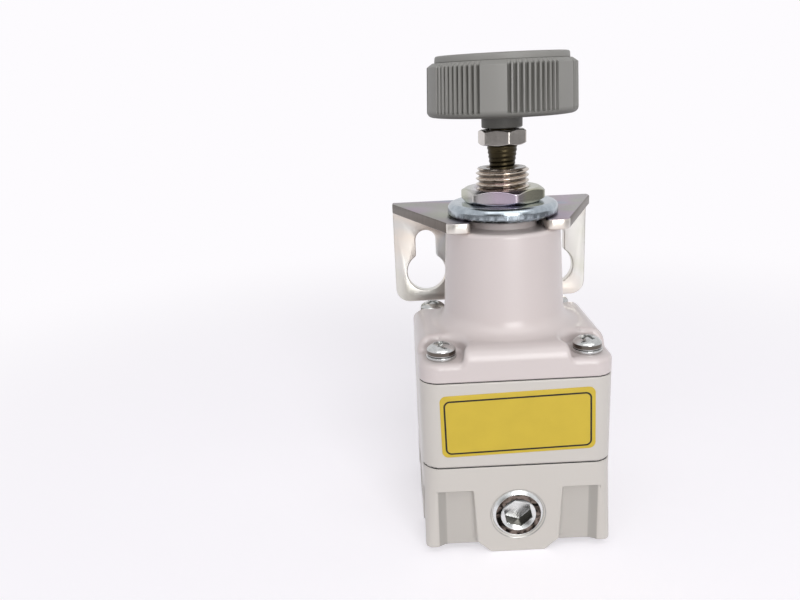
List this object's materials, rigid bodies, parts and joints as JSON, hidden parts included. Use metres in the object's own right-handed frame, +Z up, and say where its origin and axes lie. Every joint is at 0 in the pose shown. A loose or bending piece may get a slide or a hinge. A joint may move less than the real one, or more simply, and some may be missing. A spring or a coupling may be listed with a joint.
{
  "type": "precision pressure regulator",
  "caption": "Square precision air pressure regulator: ported base, round tower with fork wall bracket, panel nut, and a screw-down setting knob with a lock nut.",
  "frame": {"origin": "on the axis of the adjusting screw, in the plane of the flat ends of the four port bosses that it stands on", "axes": "+Z up along the adjusting screw towards the knob, -Y out of the plugged gauge port and the sticker face, +X out of the outlet port"},
  "size_m": [0.0418, 0.0392, 0.0909],
  "materials": {
    "casting_grey": "satin light grey paint on die-cast aluminium",
    "bonnet_paint": "satin warm grey paint on die-cast aluminium",
    "diaphragm_rubber": "matt black rubber with fabric",
    "sticker_film": "yellow film with a thin dark border",
    "plated_steel": "bright plated steel",
    "zinc_plate": "bright zinc plate with a faint iridescence",
    "nickel_plate": "nickel plate, cut thread",
    "bronze_steel": "dark chromated steel, cut thread",
    "knob_resin": "matt grey moulded resin",
    "spring_steel": "spring steel wire",
    "plain_aluminium": "machined",
    "stainless": "lapped stainless steel",
    "plain_brass": "turned brass",
    "seal_rubber": "matt black nitrile rubber"
  },
  "bodies": {
    "housing": {"port_block": "casting_grey", "middle_block": "casting_grey", "bonnet": "bonnet_paint", "relay_diaphragm": "diaphragm_rubber", "setting_diaphragm": "diaphragm_rubber", "exhaust_diaphragm": "diaphragm_rubber", "sticker": "sticker_film", "front_port_plug": "plated_steel", "bracket": "zinc_plate", "panel_washer": "zinc_plate", "panel_nut": "zinc_plate", "threaded_bushing": "nickel_plate", "nozzle": "plain_brass", "fixed_orifice": "plain_brass", "exhaust_ring": "plain_aluminium", "valve_guide": "plain_brass", "valve_guide_oring": "seal_rubber", "setting_spring": "spring_steel", "valve_spring": "spring_steel", "cover_screw_1": "plated_steel", "spring_washer_1": "spring_steel", "cover_screw_2": "plated_steel", "spring_washer_2": "spring_steel", "cover_screw_3": "plated_steel", "spring_washer_3": "spring_steel", "cover_screw_4": "plated_steel", "spring_washer_4": "spring_steel"},
    "spring_seat": {"upper_spring_seat": "plated_steel"},
    "knob": {"knob": "knob_resin", "knob_cap": "knob_resin", "adjusting_screw": "bronze_steel"},
    "lock_nut": {"lock_nut": "plated_steel"},
    "flapper": {"flapper": "stainless", "diaphragm_plate": "plain_aluminium", "flapper_nut": "plated_steel"},
    "relay": {"relay_spool": "plain_brass", "relay_upper_plate": "plain_aluminium", "relay_lower_plate": "plain_aluminium", "relay_nut": "plated_steel"},
    "valve": {"supply_valve": "plain_brass", "valve_rubber": "seal_rubber"}
  },
  "joints": [
    {"name": "knob_turn", "type": "hinge", "parent": "spring_seat", "child": "knob", "pos_m": [0, 0, 0.0803], "axis": [0, 0, 1], "range_deg": [-1800, 450]},
    {"name": "screw_travel", "type": "slide", "parent": "housing", "child": "spring_seat", "axis": [0, 0, 1], "range_m": [-0.00402, 0.00102], "deforming": ["setting_spring"]},
    {"name": "lock_nut_turn", "type": "hinge", "parent": "knob", "child": "lock_nut", "pos_m": [0, 0, 0.0763], "axis": [0, 0, 1], "range_deg": [-1800, 0]},
    {"name": "flapper_stroke", "type": "slide", "parent": "housing", "child": "flapper", "axis": [0, 0, 1], "range_m": [-0.00018, 0.0003], "deforming": ["setting_diaphragm"]},
    {"name": "relay_stroke", "type": "slide", "parent": "housing", "child": "relay", "axis": [0, 0, 1], "range_m": [-0.0005, 0], "deforming": ["relay_diaphragm", "exhaust_diaphragm"]},
    {"name": "valve_stroke", "type": "slide", "parent": "housing", "child": "valve", "axis": [0, 0, 1], "range_m": [-0.0005, 0], "deforming": ["valve_spring"]}
  ],
  "couplings": [
    {"joint": "screw_travel", "follows": "knob_turn", "m_per_rad": 0.00012732},
    {"joint": "valve_stroke", "follows": "relay_stroke", "ratio": 1}
  ]
}
